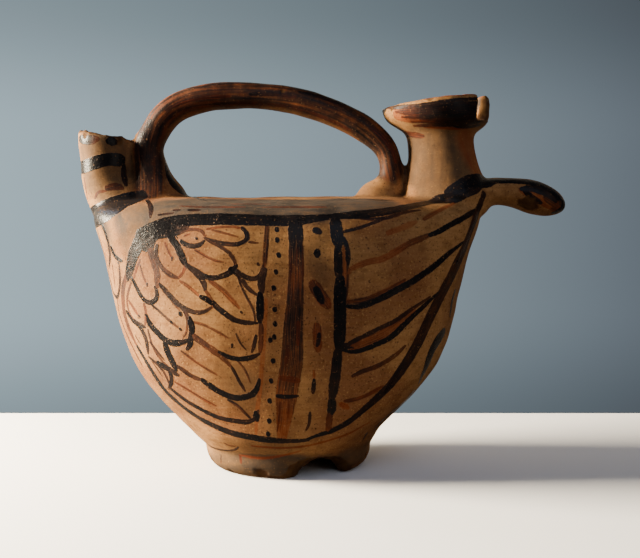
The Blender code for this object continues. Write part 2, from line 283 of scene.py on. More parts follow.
def brokenShare(places, normals):
    # 1 on the broken faces, 0 on the skin of the clay
    x, y, z = places.T
    share = np.zeros(len(places))
    stump = np.hypot(x - breaks["stumpX"], y) < breaks["stumpRadius"]
    share[stump & (z > breaks["stumpAbove"]) & (normals[:, 2] > breaks["stumpSlope"])] = 1
    radius, angle, (first, last) = aroundAxis(places, "mouth")
    collar = (radius > breaks["mouthFrom"]) & (z > breaks["mouthFloor"] - breaks["mouthNear"])
    sector = (angle > first - breaks["mouthSpread"]) & (angle < last + breaks["mouthSpread"])
    floor = (np.abs(z - breaks["mouthFloor"]) < breaks["mouthNear"]) & (normals[:, 2] > breaks["mouthFlat"])
    tangent = np.stack([-y, x - breaks["mouthX"]], axis=1) / np.maximum(radius, 1e-6)[:, None]
    endFace = np.abs((normals[:, :2] * tangent).sum(1)) > breaks["mouthUpright"]
    share[collar & sector & (floor | endFace)] = 1
    radius, angle, (first, last) = aroundAxis(places, "foot")
    arch = (angle > first) & (angle < last) & (z > breaks["footAbove"]) & (z < breaks["footTop"])
    bulge = np.sqrt(np.clip(z / breaks["footTop"], 0, 1))
    skin = breaks["footRadius"] - breaks["footFlare"] * (1 - bulge) - breaks["footSkin"]
    share[arch & (radius < skin) & (radius > breaks["footFrom"])] = 1
    return share


def noiseField(places, size, seed):
    shift = Vector([seed * step for step in noiseSteps])
    return np.array([noise.noise(Vector(p) / size + shift) for p in places])


def pixelRay(pixel):
    # the line of sight through a pixel of the photograph
    look = math.radians(-photo["lookDown"])
    right = (pixel[0] - photo["width"] / 2) / photo["focal"]
    up = (photo["height"] / 2 - pixel[1]) / photo["focal"]
    forward = Vector((0, math.cos(look), math.sin(look)))
    above = Vector((0, -math.sin(look), math.cos(look)))
    return Vector(photo["eye"]), (forward + Vector((right, 0, 0)) + above * up).normalized()


def onMiddlePlane(pixel):
    eye, sight = pixelRay(pixel)
    return tuple(eye - sight * (eye.y / sight.y))


def ontoClay(tree, pixel, furthest=15, turns=14):
    # the point of the clay seen at a pixel; one just off the outline takes the nearest clay
    for reach in range(furthest + 1):
        for turn in range(turns if reach else 1):
            angle = math.tau * turn / turns
            near = (pixel[0] + reach * math.cos(angle), pixel[1] + reach * math.sin(angle))
            place, normal, _, _ = tree.ray_cast(*pixelRay(near))
            if place is not None:
                return place, normal
    raise ValueError(f"no clay near pixel {pixel}")


def evenMesh(form, solid):
    # the solid in even small faces, bulged and softened; the inside, which shows little, has fewer
    settings = {"mode": "VOXEL", "voxel_size": clayForm["cell"], "adaptivity": 0.0}
    even = throughModifier(form, "REMESH", settings)
    places, faces = bulged(solid, vertexArray(even))
    edges, spread = edgeArray(even), clayForm["spread"]
    setVertices(even, places)
    broken = blurred(brokenShare(places, normalArray(even)), edges, spread["softening"])
    soften = 0.5 * (1 - clayForm["breaksKept"] * broken)
    setVertices(even, blurred(places, edges, clayForm["softening"], soften))
    closed = (solid["open"][faces] < clayForm["insideOpen"]).astype(float)
    inside = blurred(closed, edges, spread["fewerFaces"]) > clayForm["insideShare"]
    quads = len(even.polygons)
    print("even mesh:", quads, "faces,", int(inside.sum()), "of", len(places), "vertices inside")
    ratio = min(1.0, clayForm["mostFaces"] / (2 * quads))
    settings = {"ratio": ratio, "vertex_group": "chosen", "use_collapse_triangulate": True}
    return throughModifier(even, "DECIMATE", settings, inside) if ratio < 1 else even


def makeVesselMesh():
    form = weldedForm(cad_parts["askos"])
    solid = readSolid(form)
    print("solid read:", len(form.polygons), "faces")
    even = evenMesh(form, solid)
    # the hand's marks on the skin, and the grain of the broken faces
    places, normals, edges = vertexArray(even), normalArray(even), edgeArray(even)
    faces, _ = nearestFaces(solid, places)
    spread = clayForm["spread"]
    closed = (solid["open"][faces] < clayForm["insideOpen"]).astype(float)
    inside = blurred(closed, edges, spread["inside"])
    broken = brokenShare(places, normals)
    standing = smoothStep(places[:, 2], *clayForm["footKeptFlat"])
    lift = np.zeros(len(places))
    grainy = blurred(broken, edges, spread["grain"]) * standing
    for marks, share in (("unevenness", standing), ("breakGrain", grainy)):
        for index, (size, height) in enumerate(clayForm[marks]):
            lift += noiseField(places, size, noiseSeeds[marks] + index) * height * 2 * share
    tree = hitTree(even)
    for pixel, radius, depth in nicks:
        centre, _ = ontoClay(tree, pixel)
        away = np.linalg.norm(places - np.array(centre), axis=1) / (radius * mm)
        near = away < nickEdge["farthest"]
        grain = noiseField(places[near], nickEdge["grain"], noiseSeeds["nicks"])
        hollow = smoothStep(-away[near] - nickEdge["ragged"] * grain, -1.0, -nickEdge["steep"])
        lift[near] -= depth * mm * hollow
        broken[near] = np.maximum(broken[near], hollow)
    places = places + normals * lift[:, None]
    setVertices(even, places)
    # hollows of the form, where dirt gathers and painted shade darkens the clay
    mean = blurred(places, edges, *clayForm["hollowsAcross"])
    hollow = ((mean - places) * normalArray(even)).sum(1)
    crevice = blurred(smoothStep(hollow, *clayForm["hollows"]), edges, spread["dirtAndShade"])
    print("clay worked:", len(even.polygons), "faces")
    broken = blurred(broken, edges, spread["broken"])
    return even, {"inside": inside, "broken": broken, "crevice": crevice}


def storeField(mesh, name, values):
    kind, field = ("FLOAT", "value") if values.ndim == 1 else ("FLOAT_VECTOR", "vector")
    mesh.attributes.new(name, kind, "POINT").data.foreach_set(field, values.astype(np.float32).ravel())


# The slip painting, stroke by stroke as the brush laid it: layer, width in mm (one, or several from
# start to end), load (1 is black, 0.4 a thin rust), and the pixels of the photograph it passes
painting = [
    # grime, and painted shade where one part of the vessel shades another
    # darker along the ridge of the back: a worn grey-brown band, and painted shade from the handle and neck
    "grime 24 .82/.94/.9 172,205 205,203 240,204 280,205 320,204 350,203 380,203",
    # painted shade on the filling mouth's neck, where the handle's leg shades it
    "grime 26 .54/.62/.62 436,130 437,150 437,172 435,190",
    # painted shadow on the collar's broken face, where the collar's near wall shades it
    "grime 5.5 .95 480,99 481,110 480,121",
    "grime 20 .62/.56/.6 97,140 102,165 108,190",
    "grime 12 .54/.79/.8/.58 208,462 240,466 275,466 310,463 345,460 365,452",
    "grime 6 .85/.74/.5 119,216 123,232 127,250",
    "grime 4 .8/.7/.45 104,222 108,236 110,252",
    # painted shade under the body, above the foot
    "grime 9 .3/.42/.36 232,445 265,449 300,448",
    "grime 15 .6/.78/.62 132,212 140,220 134,230",
    "grime 13 .2/.42/.36 224,372 240,386 250,406",
    "grime 9 .3/.4/.3 308,262 322,272 332,284",
    "grime 8 .34 360,192 376,196 396,198",
    # the line along the back
    "black 4.6/5/4.2 1 140,233 150,228 163,224 177,221 205,219 240,219 270,220 294,220 315,218 335,216",
    "black 4.2/4.6/3.6 .95 335,216 360,214 385,211 405,207 425,203 440,200 455,196 468,190 480,184",
    "rust 1.6 .8 360,218 375,219 390,217 405,212 420,210",
    # the tail
    "black 3 .9 447,192 456,186 465,180 476,177",
    "black 3 .9 455,200 468,193 480,188",
    "black 6 .95 465,184 480,181 495,181",
    "black 4.5 1 480,178 495,180 510,180 525,181 540,184 552,190 561,199 564,208",
    "black 2.4/3.4/3 .9 522,189 531,188 540,190 549,194 556,201",
    "black 2.2 .9 524,190 529,195 535,200 541,203",
    "black 3 .9 565,202 562,209 553,213",
    "rust 4.6 .62 546,200 554,205 560,209",
    "rust 3.2 .46 522,190 534,196 547,204 556,209",
    # the edge of the wing
    "black 5.6/5/3.8 .95 147,232 139,243 133,256 130,268 127,279",
    "black 2.6 .68 126,277 123,288 123,302 125,316 130,331 137,346",
    "black 2.4 .95 137,346 150,368 163,388 175,400 190,412 210,424 232,433 255,438 280,441 296,441 "
    "308,440",
    "black 1.6/3.4/5/5.8/4.8 .95/.84/.8/.78/.84 306,440 316,436 326,433 338,428 350,421 362,411 376,399 "
    "390,385 400,372 410,357 419,341 428,322 436,305 444,290 452,275 458,262 464,249 469,236 474,222 "
    "479,208 484,194",
    "rust 2 1 385,392 393,380 399,370",
    "rust 2 1 457,262 466,243 474,222 480,205",
    # its shoulder
    "black 6/6/4 1/1/.86 150,231 160,230 172,229 186,228",
    "black 6 .92 140,238 146,244 152,240",
    "black 2.8 .75 150,238 150,250 154,262 157,274 157,286",
    "black 2.6 .95 170,237 177,246 181,255 184,262 187,266",
    # feathers
    "black 1.3 .7 178,234 186,230 196,229 203,232 205,237",
    "black 1.8 .9 181,241 186,245 193,246 200,245 204,241",
    "black 1.6 .9 196,238 197,239",
    "rust .8 .64 184,236 190,234",
    "black .9 .6 207,229 220,227 236,227 243,229",
    "black 1.7 .85 242,228 246,232 248,237 245,241 238,244 226,244 215,242 205,238",
    "rust .8 .64 212,230 224,233 238,237",
    "black 1.4 .75 205,238 214,243 224,249 231,255 235,262 236,267",
    "black 1.9 .88 236,266 232,271 225,275 214,278 204,276 196,271 190,267 186,263",
    "black 3 .9 231,270 232,271",
    "rust .9 .64 195,250 207,257 216,261 223,262",
    "black 1.8 .78 157,246 156,255 159,264 165,271 172,276 178,278",
    "black 1.1 .6 178,278 183,273 185,266",
    "rust .9 .69 165,243 168,251 172,258",
    "black 1.5 .8 172,258 172,260",
    "black 1.1 .65 140,260 136,270 133,280",
    "black 1.9 .95 133,280 137,289 141,296 146,302 151,303 156,300 157,293 155,287",
    "rust .9 .69 140,265 143,276 147,285",
    "black 1.5 .8 147,284 147,286",
    "black 2 .85 187,265 193,270 199,276 204,283 205,290",
    "black 1.2 .6 205,290 209,296 213,302 212,308",
    "black 1.7 .82 159,284 166,291 174,300 182,307 190,311 198,313 206,311 212,307",
    "rust 1.2 .59 180,281 190,288 200,297",
    "black 2.2/1.6 .9 201,297 210,301 219,309 228,316 237,321 248,323 257,323",
    "black 1.5 .82 234,272 241,278 246,286 252,292 257,295",
    "rust .9 .79 238,277 242,288 248,300 253,309 255,317 255,323",
    "rust 1.7 .56 210,281 222,290 232,300 239,308",
    "black 1.4 .8 241,312 242,313",
    "black 1.2 .68 131,283 128,293 127,303 130,314 135,321 141,326",
    "black 2 .9 127,312 132,319 138,324 145,327",
    "black 1.4 .65 144,304 146,313 145,325",
    "rust 1.4 .59 129,301 134,309 139,316",
    "black 1.4 .8 139,316 140,317",
    "black 1.4 .78 161,287 168,294 176,302 183,309 188,317 191,326 191,334",
    "black 2.2 .95 189,318 192,327 191,336 190,345 187,349",
    "black 2.4 1 146,315 149,323 156,331 163,338 172,343 180,343 188,340",
    "rust .8 .74 163,291 171,300 180,311",
    "rust .8 .74 184,311 187,320 187,330 183,338",
    "rust 1.1 .79 152,305 160,312 170,321 180,329",
    "black 1.5 .85 153,306 154,307",
    "black 1.5 .85 171,322 172,323",
    "black 1.5 .85 180,329 181,330",
    "black 2.4 .9 180,314 181,315",
    "black 2 .7 191,334 198,339 208,346 218,352",
    "black 1.8 .9 218,352 228,357 238,359 250,358 259,354",
    "rust .9 .64 193,322 204,325 216,331 228,338",
    "black 1.4 .8 232,345 232,347",
    "rust .7 .74 236,334 240,343 246,350",
    "black 1.4 .8 256,336 254,345 252,352",
    "black 2 .9 132,320 139,326 144,334 147,344 148,353",
    "rust .7 .69 135,335 138,340 141,345",
    "black 1.1 .72 148,330 151,342 156,353 162,361 168,366",
    "black 2.8 1 165,344 168,353 172,361 176,370",
    "black 2.4 .9 158,363 165,367 172,371 178,375",
    "rust 1.1 .8 150,342 157,351 164,360",
    "black 1.9 .68 191,335 203,344 214,352 224,359 231,367",
    "black 1.1 .8 229,364 234,371 239,381 245,391",
    "black 1.7 .78 177,366 184,371 193,377 202,380",
    "black 2.2 .98 202,380 209,385 216,390 226,395 236,398 246,397 254,393 258,386 259,380",
    "rust .9 .64 181,351 193,360 205,368 217,375",
    "rust .8 .64 237,360 245,370 250,382",
    "black 1.2 .8 149,357 157,364 165,374 170,386",
    "black 1.9 .95 169,370 172,380 169,388",
    "rust .7 .74 152,361 158,370 162,376",
    "black 1.8 .9 170,388 181,397 193,405 206,412 220,418 235,421 248,422 255,419 258,411",
    "rust 1.1 .8 228,400 237,405 244,412 251,419",
    "rust 1 .64 175,382 190,391 203,399 216,406",
    "black 2.4 .95 256,413 257,420",
    "black 1.7 .82 237,271 245,277 254,279 261,275 263,266",
    "black .9 .7 249,242 258,243",
    "black 1.4 .8 258,264 259,265",
    # the thin line beside the dots
    "rust 1.7 .7 267,226 266,240 265,255 264,268",
    "black .7 .75 268,240 267,252 266,262",
    "black 2.6 .8 264,270 261,280 262,292",
    "black 2.6 .98 260,294 260,308 260,322",
    "black 1.8 .68 261,325 261,340 260,352",
    "rust 1.5 .3 266,300 265,320 264,342 262,365 260,390 257,415 256,437",
    # the broad band
    "rust 4.9/5/5.2/5.8/6.6/7.4/7.6/7/6 .98/.74/.64/.78/.78/.74/.64/.58/.42 296,224 296,250 296,275 "
    "295,300 293,330 292,360 288,385 285,410 282,438",
    "black 2.4 .95 291,226 292,238 293,246",
    "black 2.4 .92 299,226 300,236 300,244",
    "black .7 .75 291,248 291,262 290,280",
    "black .6 .7 302,245 303,262 303,280",
    "black .6 .7 297,248 297,262",
    "black 1.4 .68 288,346 287,358 286,366",
    "black 1.2 .62 298,322 298,345",
    "black 2.2 .6 281,378 290,379 299,381",
    "black 1.5 .9 277,396 286,397 298,396",
    "black .6 .6 280,402 279,420 277,432",
    "black .6 .58 289,402 288,418",
    # blobs beside it
    "black 2.9 .95 315,230 320,232",
    "black 2.7 .95 317,252 317,256",
    "black 2.8 .98 316,289 319,295 322,302",
    "rust 4.2 .62 313,284 320,295 328,306",
    "rust 3.2 .58 317,326 318,350",
    "black 1.5 .9 319,334 319,340 317,346",
    "rust 1.2 .5 314,371 314,379",
    "black 1.5 .85 314,380 313,393",
    "black 1.1 .74 310,413 309,425 306,430",
    # the black band
    "black 4.3 1 335,220 337,236 339,246",
    "black 2.8 .95 338,246 338,262 339,279",
    "black 4.3 1 340,280 340,300 340,325 339,351",
    "black 3.6 .88 338,351 336,370 334,385 332,400",
    "black 3.2 .95 332,400 332,408 331,414",
    "black 2.4 .62 330,414 329,426 328,432",
    "black 1.8 .9 343,238 347,247 348,257 348,264",
    "rust 1.8 .5 344,248 345,265 345,280 345,298",
    "rust 1.4 .7 347,262 347,280 346,298",
    # pinions
    "black 1.2 .8 342,232 355,229 370,224 384,219",
    "rust 2.2 .34 388,233 402,228 416,222",
    "rust 1.8 .5 424,219 440,210 454,203",
    "rust 1.9/2.4/1.9 .5/.46/.78 349,270 357,266 368,262 382,259 395,252 410,243 425,237 438,232",
    "black 2 .95 430,235 440,231 452,224 465,217 477,209",
    "black 1.8/2.6/2.2 .98 346,306 356,307 368,304 380,299 395,291 410,283 425,273 437,264 447,255 "
    "457,247 464,242",
    "rust 1.8 .65 347,302 360,301 375,296 392,288 405,280",
    "black 1.4/2.2/1.8 .95 343,350 352,352 362,350 375,345 390,338 402,327 412,317 425,305 437,294 "
    "443,288",
    "black 1.6 .78 344,347 354,341 366,335 380,328 395,321 406,313 418,305 430,297",
    "rust 3.4 .52 352,347 368,341 385,333 400,322 414,311",
    "black 2.2 .9 341,347 349,345",
    "black 1.8 .68 353,376 363,371 373,368 385,362 397,354 405,346",
    "rust 1.6 .62 345,401 353,400 363,397 373,392 383,386",
    "rust 2.2 .42 341,404 348,408",
    # behind the wing
    "black 2 .9 455,291 452,302 450,316",
    "black 5.4/4.4/2 1 443,333 437,342 431,353 427,365 422,376 419,383",
    "black 3/2.2/1.6 .95 413,392 403,403 392,412 382,421 374,430",
    "black 1.2 .9 367,433 363,440",
    "rust 1.1 .5 252,446 280,448 306,446 330,440 350,433 370,422",
    # the foot
    "rust 1.2 .8 201,440 210,446 222,450 235,450 238,447",
    "rust .8 .6 224,443 230,446 236,446",
    "rust 1.4 .42 240,455 262,458 285,455 300,451",
    "rust 1.2 .6 240,455 241,463",
    "rust .6 .7 221,455 221,463",
    # the breast
    "black 1.8 .95 101,222 105,232 108,242 110,255 109,267",
    "black 1.2 .82 97,229 101,243 105,256 108,268",
    "black 1.8 .98 111,247 114,255 119,260 122,261",
    "black 1.5 .84 108,268 110,282 113,292 117,298 119,292 120,279 119,264",
    "black .8 .7 112,264 114,277 115,288",
    "black 1.2 .72 117,298 119,312 123,325 128,337 134,350 143,367",
    # the neck
    "black 2.4 .85 124,166 124,176 126,185",
    "black 2.8 .7 107,188 117,186 122,188",
    "black 1.2 .64 95,198 98,192 106,191",
    "black 3.4 .95/.86/.7 80,139 88,140 97,139",
    "black 3.2 1 109,141 116,142",
    "rust 1 .6 84,178 86,190 88,203",
    "black 1.7 .88 147,200 151,208 150,217",
    "black 1 .8 158,215 165,214 173,213",
    "black 1.4 .8 174,210 179,210",
    "black 1.8 .85 189,210 199,210",
    # the handle
    "black 2.2 .85 150,121 145,132 142,146 143,160 148,173 151,182",
    "black 1.6 .8 188,88 200,87 215,84 240,83",
    "black 3 .95 240,82 280,84 310,89 335,98 355,108 375,119 390,131 398,145 402,158",
    "black 1.6 .8 250,94 275,94 297,97",
    "black 1.8 .85 300,92 320,97 340,104",
    "black 1.6 .75 215,104 250,103 290,107 320,116 350,130",
    "black 1.6/3.8/1.6 .98 166,150 166,160 168,172 173,183 181,191 193,197 206,201",
    "rust 1.4 .7 166,110 180,103 200,98 230,96",
    "rust 2 .65 372,128 384,138 392,150 396,162",
    # the ridge of the back
    "black 1.4 .78 205,200 225,200 250,200",
    "black 1/1.8/1.2 .6/.72/.6 180,206 200,207 222,207 245,207",
    "black 1/2/1.2 .58/.74/.6 262,207 284,207 306,207 326,207",
    "black .8/1.4/.8 .56/.7/.56 232,204 252,204 270,204",
    "black 1.2 .8 268,200 285,200 300,200",
    "black 1.6 .9 335,199 350,199 365,199 380,200 395,200",
    "black 2 .68 398,198 406,198",
    # the filling mouth
    "black 1.6 .7/.85/.92 386,108 400,107 415,106 430,104 450,101 470,99 480,99",
    "black 1.4/3.4/3.6/3.6 .6/.8/.92/.95 396,112 415,112 435,109 455,107 480,104",
    "black 1.2/2.6/3.4/3.4 .64/.86/.95/.95 402,117 420,117 440,115 460,113 480,111",
    "black 1.2/2.4/2.6/2.8 .6/.72/.9/.95 412,122 428,121 448,120 465,118 480,116",
    "black 2.8/2 .98/.85 384,106 383,115 387,124",
    "rust 7 .4/.8/.88/.9 398,115 425,115 455,114 479,112",
    "black 1.4/2.8/3.2 .6/.84/.95 414,126 430,125 455,124 479,122",
    "rust 1.6 .5 425,99 445,96 470,94 482,95",
    "black 1.8 .85 455,126 468,127 480,125",
    "rust 2.4 .65 398,131 410,134 423,136",
    "rust 1.4 .5 425,127 445,128 460,129",
]

# Slip that goes right round a bar or a neck, so it is measured in the side view alone
rings = [
    "wash 14.5 .7 152,186 151,170 150,150 153,135 161,117 182,101 210,95 250,94 290,97 330,109 363,127 "
    "384,148 389,168",
    "wash 9 .3 462,140 468,155 476,168",
    "black 5.8 .98 66,173 79,169 90,167 100,164 112,161 122,161",
    "black 8.6/9.4/10.4/10.6/9.4/7.4/5.6 .96 78,224 92,220 102,216 112,212 122,207 134,201 146,197",
]

# Single dots down the strip between the thin line and the broad band
dotRow = {
    "width": 1.9,
    "load": 0.95,
    "lean": (0.3, 1.2),  # pixels to the side and down from a dot's start to its end
    "pixels": (
        "276.6,229.6 277,240 278.4,255 275.7,272 273.4,288 274.5,309.6 274.8,324 274,337 270,340 273,361 "
        "271,381 269.5,401 269,421 268,434"
    ),
}

brush = {
    "spacing": 2.5,  # pixels between the points of a stroke
    "runsOut": 0.12,  # share of the slip that is gone from the brush at a stroke's end
    "fullness": 1.22,  # by which a stroke is wider than its line in the list
    "startWidth": 0.75,  # shares of the full width at a stroke's two ends
    "endWidth": 0.55,
    "landed": 0.12,  # shares of its length between which it has its full width
    "lifting": 0.82,
    "reach": 3.5,  # mm beyond a stroke's edge that the surface is told of it
    "unpainted": 9.0,  # the distance in mm that is told where there is no stroke
    "evening": 2,  # times that the line on the clay is smoothed
    "sameSide": 0.1,  # clay turned further than this from the stroke's own isn't painted by it
    "apart": 2.2,  # mm that strokes keep in one set, so that they don't blur into each other
    "hairShift": 60,  # mm between two strokes in the pattern of the brush's hairs
    "farFrom": 8 * mm,  # how far behind the middle the far side's painting is all its own
    "farWarp": 1.0 * mm,  # how far that painting differs from the near side's
    "farWave": 24 * mm,
}
strokeSets = {"grime": 1, "wash": 1, "rust": 2, "black": 3}


def readNumbers(text, mark):
    return [float(number) for number in text.split(mark)]


def readStroke(line):
    layer, widths, loads, *knots = line.split()
    knots = [readNumbers(knot, ",") for knot in knots]
    return layer, readNumbers(widths, "/"), readNumbers(loads, "/"), knots


def curvePoints(knots, spacing):
    # a smooth line through the knots, with points at an even spacing
    knots = [np.array(k, float) for k in knots]
    ends = [knots[0] * 2 - knots[1]] + knots + [knots[-1] * 2 - knots[-2]]
    points = []
    for before, start, end, after in zip(ends, ends[1:], ends[2:], ends[3:]):
        steps = max(1, round(np.linalg.norm(end - start) / spacing))
        for t in np.arange(steps) / steps:
            points.append(0.5 * (
                2 * start + (end - before) * t + (2 * before - 5 * start + 4 * end - after) * t ** 2
                + (3 * start - before - 3 * end + after) * t ** 3
            ))
    return points + [knots[-1]]


def alongStroke(stations, share):
    # one value for the whole stroke, or several evenly spaced from its start to its end
    return np.interp(share, np.linspace(0, 1, len(stations)), stations)


def strokeWidths(widths, share):
    # the brush lands a little narrow and lifts off narrower
    stations = [0, brush["landed"], brush["lifting"], 1]
    ends = np.interp(share, stations, [brush["startWidth"], 1, 1, brush["endWidth"]])
    return alongStroke(widths, share) * ends * brush["fullness"]


def pathOnClay(tree, knots):
    hits = [ontoClay(tree, point) for point in curvePoints(knots, brush["spacing"])]
    path = [np.array([tuple(hit[k]) for hit in hits]) for k in range(2)]
    # where the clay turns away from the eye a pixel is a long step, so the line is evened out
    for _ in range(brush["evening"]):
        for values in path:
            values[1:-1] = (values[:-2] + 2 * values[1:-1] + values[2:]) / 4
    return path


def layStroke(sets, surface, path, halfWidths, loads, seed, sideView=False):
    # tells every vertex near the stroke where it lies in the stroke's own run: across, along, past its end
    places, facing = path
    spots, spotNormals = surface["spots"], surface["normals"]
    if sideView:
        places, spots = places * [1, 0, 1], spots * [1, 0, 1]
        facing = np.tile([0.0, -1.0, 0.0], (len(places), 1))
    reach = (halfWidths.max() + brush["reach"]) * mm
    low, high = places.min(0) - reach, places.max(0) + reach
    near = np.nonzero(((spots > low) & (spots < high)).all(axis=1) & surface["outside"])[0]
    if len(near) == 0:
        return
    spots, spotNormals = spots[near], spotNormals[near]
    starts, steps = places[:-1], places[1:] - places[:-1]
    lengths = np.maximum(np.linalg.norm(steps, axis=1), 1e-9)
    tangents = steps / lengths[:, None]
    offset = spots[:, None, :] - starts[None, :, :]
    free = (offset * tangents[None]).sum(2)
    along = np.clip(free, 0, lengths[None])
    gap = np.linalg.norm(offset - along[..., None] * tangents[None], axis=2)
    best = gap.argmin(axis=1)
    rows = np.arange(len(near))
    distance, along, free = gap[rows, best] / mm, along[rows, best], free[rows, best]
    side = unitRows(np.cross(facing[best], tangents[best]))
    across = ((offset[rows, best] - along[:, None] * tangents[best]) * side).sum(1) / mm
    share = along / lengths[best]
    half = halfWidths[best] * (1 - share) + halfWidths[best + 1] * share
    laid = loads[best] * (1 - share) + loads[best + 1] * share
    before = np.concatenate([[0], np.cumsum(lengths)])
    atEnd = (best == 0) | (best == len(lengths) - 1)
    fromStart = before[best] + np.where(atEnd, free, along)
    past = np.maximum(-fromStart, fromStart - before[-1]) / mm
    margin = distance - half
    wins = margin < brush["reach"]
    if not sideView:
        wins &= (spotNormals * facing[best]).sum(1) > brush["sameSide"]
    # the set with the fewest strokes near this one takes it
    close = near[wins & (margin < brush["apart"])]
    fields = min(sets, key=lambda one: int((one["margin"][close] < brush["apart"]).sum()))
    wins &= margin < fields["margin"][near]
    chosen = near[wins]
    fields["margin"][chosen] = margin[wins]
    fields["line"][chosen] = np.stack([across, past, half], axis=1)[wins]
    run = fromStart / mm + brush["hairShift"] * seed
    fields["flow"][chosen] = np.stack([run, laid, distance], axis=1)[wins]


def paintedSurface(mesh, inside):
    # the far side carries the near side's painting, a little differently drawn
    places, normals = vertexArray(mesh), normalArray(mesh)
    far = smoothStep(places[:, 1], 0.0, brush["farFrom"])
    flip = np.where(places[:, 1:2] < 0, [1, 1, 1], [1, -1, 1])
    spots = places * flip
    for axis in (0, 2):
        wave = noiseField(places, brush["farWave"], noiseSeeds["farSide"] + axis)
        spots[:, axis] += far * brush["farWarp"] * 2 * wave
    return {"spots": spots, "normals": normals * flip, "outside": inside < 0.5}


def emptyFields(count):
    none = brush["unpainted"]
    return {
        "margin": np.full(count, none),
        "line": np.tile([none, none, 0.0], (count, 1)),
        "flow": np.tile([0.0, 0.0, none], (count, 1)),
    }


def paintFields(mesh, shape):
    tree = hitTree(mesh)
    surface = paintedSurface(mesh, shape["inside"])
    layers = {
        layer: [emptyFields(len(mesh.vertices)) for _ in range(count)] for layer, count in strokeSets.items()
    }
    seed = 0
    for layer, widths, loads, knots in map(readStroke, painting):
        path = pathOnClay(tree, knots)
        share = np.linspace(0, 1, len(path[0]))
        loads = alongStroke(loads, share) * (1 - brush["runsOut"] * share)
        layStroke(layers[layer], surface, path, strokeWidths(widths, share) / 2, loads, seed)
        seed += 1
    right, down = dotRow["lean"]
    for x, y in (readNumbers(knot, ",") for knot in dotRow["pixels"].split()):
        path = pathOnClay(tree, [(x, y - down / 2), (x + right, y + down / 2)])
        even = np.ones(len(path[0]))
        layStroke(layers["black"], surface, path, even * dotRow["width"] / 2, even * dotRow["load"], seed)
        seed += 1
    for layer, widths, loads, knots in map(readStroke, rings):
        places = np.array([onMiddlePlane(point) for point in curvePoints(knots, brush["spacing"])])
        share = np.linspace(0, 1, len(places))
        halfWidths, loads = alongStroke(widths, share) / 2, alongStroke(loads, share)
        layStroke(layers[layer], surface, (places, places), halfWidths, loads, seed, sideView=True)
        seed += 1
    for layer, sets in layers.items():
        for number, fields in enumerate(sets):
            storeField(mesh, f"{layer}Line{number}", fields["line"])
            storeField(mesh, f"{layer}Flow{number}", fields["flow"])
    print("painting:", seed, "strokes")


# Fired clay with a burnished skin: orange-tan, clouded brown by the fire, satin where it was rubbed
clayFinish = {
    "tan": "#8f683f",
    # bare clay of the breaks, darkened as painted shade
    "broken": "#50381f",
    "brokenDark": "#3a2416",
    "inside": "#55351f",
    "dirtAndShade": "#20140d",
    "ior": 1.5,
    "specular": 0.10,
    "roughness": 0.80,
    "unevenRoughness": 0.30,
    "dullness": 0.30,  # by which broken and inner faces are rougher
    # patterns: size in mm and how many finer ones ride on it
    "patterns": {
        "clouds": (38.0, 3.0), "mottle": (5.0, 4.0), "grain": (0.85, 3.0), "pores": (2.2, 3.0),
        "edgeGrain": (1.1, 2.0), "edgeWave": (6.0, 1.0), "wear": (3.5, 5.0), "scuffs": (0.8, 3.0),
    },
    "rubbedSize": (14.0, 4.0, 1.3),  # mm along, across and up the marks of burnishing
    "rubbedDetail": 2.0,
    # tints in turn: pattern, from and to, strength and colour
    "tints": [
        ("clouds", 0.38, 0.62, 1.0, "#744d2f"), ("mottle", 0.45, 0.72, 0.45, "#52311a"),
        ("rubbed", 0.42, 0.66, 0.28, "#68401b"), ("grain", 0.58, 0.72, 0.75, "#25170f"),
        ("grain", 0.41, 0.29, 0.50, "#a9824e"),
    ],
    "brokenMottle": (0.35, 0.65, 1.0),  # the mottle's part in the darker tone of the breaks, as above
    # what covers the skin: from and to, and how strongly
    "covers": {"crevice": (0.10, 0.75, 0.62), "inside": (0.0, 1.0, 0.80), "broken": (0.25, 0.75, 0.92)},
    # relief too fine for the mesh: the patterns' heights in mm, before the bump's own strength
    "relief": {"grain": 0.09, "pores": 0.16, "rubbed": 0.10},
    "bump": 0.55,
}

# Slip painted before the firing: black where thick, red-brown where the brush ran thin
slipFinish = {
    "colours": [(0.0, "#864319"), (0.40, "#712b0c"), (0.58, "#421808"), (0.72, "#21110e"), (0.88, "#0f0e10")],
    # colours of the grime layer: grime, and painted shade where parts of the vessel shade each other
    "grime": [(0.0, "#6b4a2b"), (0.55, "#4c3927"), (0.85, "#38302a"), (1.0, "#2a2521")],
    "cover": [(0.0, 0.0), (0.25, 0.42), (0.50, 0.76), (0.72, 0.95), (0.90, 1.0)],
    "roughness": 0.30,
    "edges": {"grime": 3.2, "wash": 2.2, "rust": 0.30, "black": 0.14},  # mm over which a stroke's edge fades
    "wander": {"edgeGrain": 0.70, "edgeWave": 0.55},  # mm that the patterns push an edge in and out
    "looseness": 0.75,  # by which broad strokes wander more than thin ones
    "slack": 0.60,  # mm by which a spot may be nearer to a stroke than its two measures say
    # the marks of the brush's hairs: mm across and along, and how strong they are
    "hairs": {
        "grime": (3.0, 12.0, 0.6), "wash": (1.5, 30.0, 1.0), "rust": (0.40, 14.0, 0.95),
        "black": (0.35, 9.0, 0.45),
    },
    "wear": 0.42,
    "scuffs": (0.70, 0.64, 0.45),  # where the pattern scuffs the slip off, from and to, and how much stays
    "glossy": (0.45, 0.95),  # loads between which slip turns from matt to glossy
    "thickness": 0.05,  # mm that it stands up from the clay, and the height of its specks
    "specks": 0.28,
}


def perMetre(size):
    # a pattern's scale from its size in mm
    return 1.0 / (size * mm)


